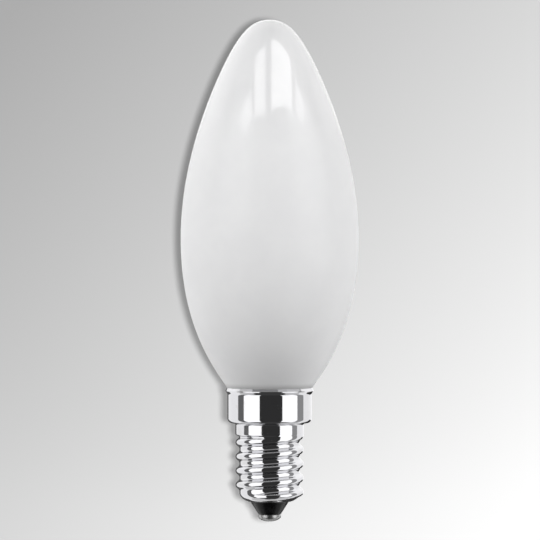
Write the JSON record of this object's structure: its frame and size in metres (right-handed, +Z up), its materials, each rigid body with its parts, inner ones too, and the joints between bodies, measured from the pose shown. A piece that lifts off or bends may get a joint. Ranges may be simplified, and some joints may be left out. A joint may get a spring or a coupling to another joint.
{
  "type": "candle bulb",
  "caption": "Frosted candle-shaped glass bulb on a nickel-plated small screw cap with a black glass insulator and a domed centre contact.",
  "frame": {"origin": "on the lamp's axis at the lowest point of the centre contact, the datum that lamp lengths are measured from", "axes": "+Z up the lamp's axis from the cap to the tip of the glass, -Y towards the viewer of the picture, +X to the viewer's right"},
  "size_m": [0.0354, 0.0354, 0.0999],
  "materials": {
    "frosted_glass": "white frosted inside, smooth and glossy outside",
    "cement": "matt, hidden in the skirt",
    "nickel_plate": "bright polished plate",
    "black_glass": "glossy black glass",
    "contact_metal": "bright tinned metal, slightly dull"
  },
  "bodies": {
    "root": {"glass_envelope": "frosted_glass", "capping_cement": "cement", "cap_shell": "nickel_plate", "insulator": "black_glass", "centre_contact": "contact_metal"}
  },
  "joints": []
}
